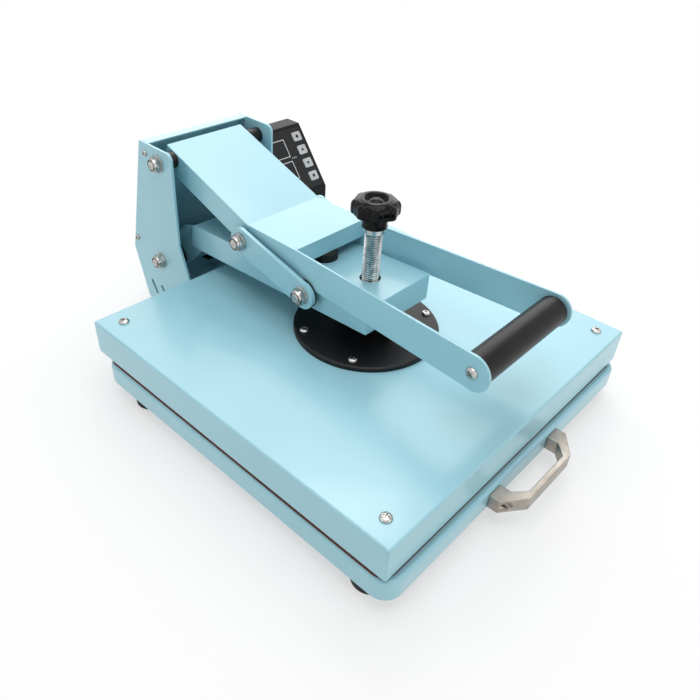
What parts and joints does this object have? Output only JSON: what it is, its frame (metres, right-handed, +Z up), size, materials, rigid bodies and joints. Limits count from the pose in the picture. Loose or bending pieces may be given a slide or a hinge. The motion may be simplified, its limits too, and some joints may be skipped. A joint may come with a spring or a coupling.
{
  "type": "slide-out heat press",
  "caption": "Clamshell heat press: a hand lever drives a toggle arm that lifts a square heated platen off a silicone pad on a pull-out drawer; a screw sets the pressure.",
  "frame": {"origin": "on the bench, under the middle of the part's length and width; the pressure screw's axis stands 43.5 mm in front of it", "axes": "+X to the right seen from the front, -Y towards the user, +Z up; the press is closed and the drawer is in"},
  "size_m": [0.404, 0.557, 0.23],
  "materials": {
    "blue_powder_coat": "pale blue powder coat, satin",
    "black_powder_coat": "black powder coat, semi-gloss",
    "bright_steel": "zinc plated and polished steel",
    "slide_steel": "rolled zinc plated steel",
    "cast_alloy": "cast and ground, dull",
    "element_steel": "heat tinted steel sheath",
    "black_rubber": "moulded, matt",
    "brown_silicone": "sponge sheet, matt",
    "black_plastic": "moulded, fine grain",
    "panel_film": "smooth printed film",
    "display_plastic": "tinted, glossy",
    "key_plastic": "moulded, satin",
    "nylon_bush": "turned nylon",
    "fibre_mat": "needled fibre blanket",
    "board_green": "solder mask"
  },
  "bodies": {
    "base": {"base_plate": "blue_powder_coat", "rubber_feet": "black_rubber", "column_plate_left": "blue_powder_coat", "column_plate_right": "blue_powder_coat", "column_back_sheet": "blue_powder_coat", "column_front_sheet": "blue_powder_coat", "case_screws": "bright_steel", "upper_pivot_shaft": "bright_steel", "lower_pivot_shaft": "bright_steel", "pivot_nuts": "bright_steel", "upper_pivot_bushes": "nylon_bush", "lower_pivot_bushes": "nylon_bush", "slide_outers": "slide_steel", "glide_strips": "nylon_bush", "control_box": "black_plastic", "box_back": "black_plastic", "control_panel": "panel_film", "display_window": "display_plastic", "control_board": "board_green", "power_inlet": "black_plastic", "switch_frame": "black_plastic"},
    "rocker": {"switch_rocker": "black_plastic"},
    "key_1": {"button_1": "key_plastic"},
    "key_2": {"button_2": "key_plastic"},
    "key_3": {"button_3": "key_plastic"},
    "key_4": {"button_4": "key_plastic"},
    "drawer": {"drawer_tray": "blue_powder_coat", "tray_ribs": "blue_powder_coat", "silicone_pad": "brown_silicone", "pull_handle": "cast_alloy", "handle_screws": "bright_steel", "slide_inners": "slide_steel"},
    "cage": {"ball_cages": "slide_steel", "bearing_balls": "bright_steel"},
    "arm": {"toggle_arm": "blue_powder_coat", "screw_nut": "bright_steel", "stop_bumper": "black_rubber"},
    "platen": {"platen_cover": "blue_powder_coat", "heat_platen": "cast_alloy", "heating_element": "element_steel", "insulation_mat": "fibre_mat", "platen_spacers": "bright_steel", "corner_screws": "bright_steel", "round_flange": "black_powder_coat", "flange_screws": "bright_steel", "swivel_housing": "black_powder_coat", "guide_pins": "black_powder_coat"},
    "knob": {"star_knob": "black_plastic", "pressure_screw": "bright_steel", "thrust_collar": "bright_steel"},
    "lever": {"hand_lever": "blue_powder_coat", "grip_core": "bright_steel", "grip_sleeve": "black_plastic", "grip_screws": "bright_steel", "lever_pin_bolts": "bright_steel", "lever_pin_nuts": "bright_steel"},
    "links": {"link_bars": "blue_powder_coat", "link_washers": "nylon_bush", "arm_pin_bolts": "bright_steel", "arm_pin_nuts": "bright_steel"}
  },
  "joints": [
    {"name": "lever_pivot", "type": "hinge", "parent": "base", "child": "lever", "pos_m": [0, 0.2035, 0.2035], "axis": [-1, 0, 0], "range_deg": [0, 55]},
    {"name": "arm_pivot", "type": "hinge", "parent": "base", "child": "arm", "pos_m": [0, 0.2215, 0.0765], "axis": [-1, 0, 0], "range_deg": [0, 17.1]},
    {"name": "link_pivot", "type": "hinge", "parent": "lever", "child": "links", "pos_m": [0, 0.0845, 0.1535], "axis": [-1, 0, 0], "range_deg": [-86.8, 0]},
    {"name": "pressure_knob", "type": "hinge", "parent": "platen", "child": "knob", "pos_m": [0, -0.0435, 0.1], "axis": [0, 0, 1], "range_deg": [0, 721]},
    {"name": "platen_height", "type": "slide", "parent": "arm", "child": "platen", "axis": [0, 0, 1], "range_m": [0, 0.005]},
    {"name": "drawer_slide", "type": "slide", "parent": "base", "child": "drawer", "axis": [0, -1, 0], "range_m": [0, 0.25]},
    {"name": "cage_slide", "type": "slide", "parent": "base", "child": "cage", "axis": [0, -1, 0], "range_m": [0, 0.1251]},
    {"name": "power_rocker", "type": "hinge", "parent": "base", "child": "rocker", "pos_m": [0.028, 0.26657, 0.04078], "axis": [1, 0, 0], "range_deg": [0, 20]},
    {"name": "press_key_1", "type": "slide", "parent": "base", "child": "key_1", "axis": [0, 0.7967, -0.6044], "range_m": [0, 0.0012], "stiffness_N_per_m": 400, "springref_m": -0.001},
    {"name": "press_key_2", "type": "slide", "parent": "base", "child": "key_2", "axis": [0, 0.7967, -0.6044], "range_m": [0, 0.0012], "stiffness_N_per_m": 400, "springref_m": -0.001},
    {"name": "press_key_3", "type": "slide", "parent": "base", "child": "key_3", "axis": [0, 0.7967, -0.6044], "range_m": [0, 0.0012], "stiffness_N_per_m": 400, "springref_m": -0.001},
    {"name": "press_key_4", "type": "slide", "parent": "base", "child": "key_4", "axis": [0, 0.7967, -0.6044], "range_m": [0, 0.0012], "stiffness_N_per_m": 400, "springref_m": -0.001}
  ],
  "couplings": [
    {"joint": "arm_pivot", "follows": "lever_pivot", "ratio": 0.31},
    {"joint": "link_pivot", "follows": "lever_pivot", "ratio": -1.5766},
    {"joint": "pressure_knob", "follows": "platen_height", "rad_per_m": 2513.3},
    {"joint": "cage_slide", "follows": "drawer_slide", "ratio": 0.5}
  ]
}
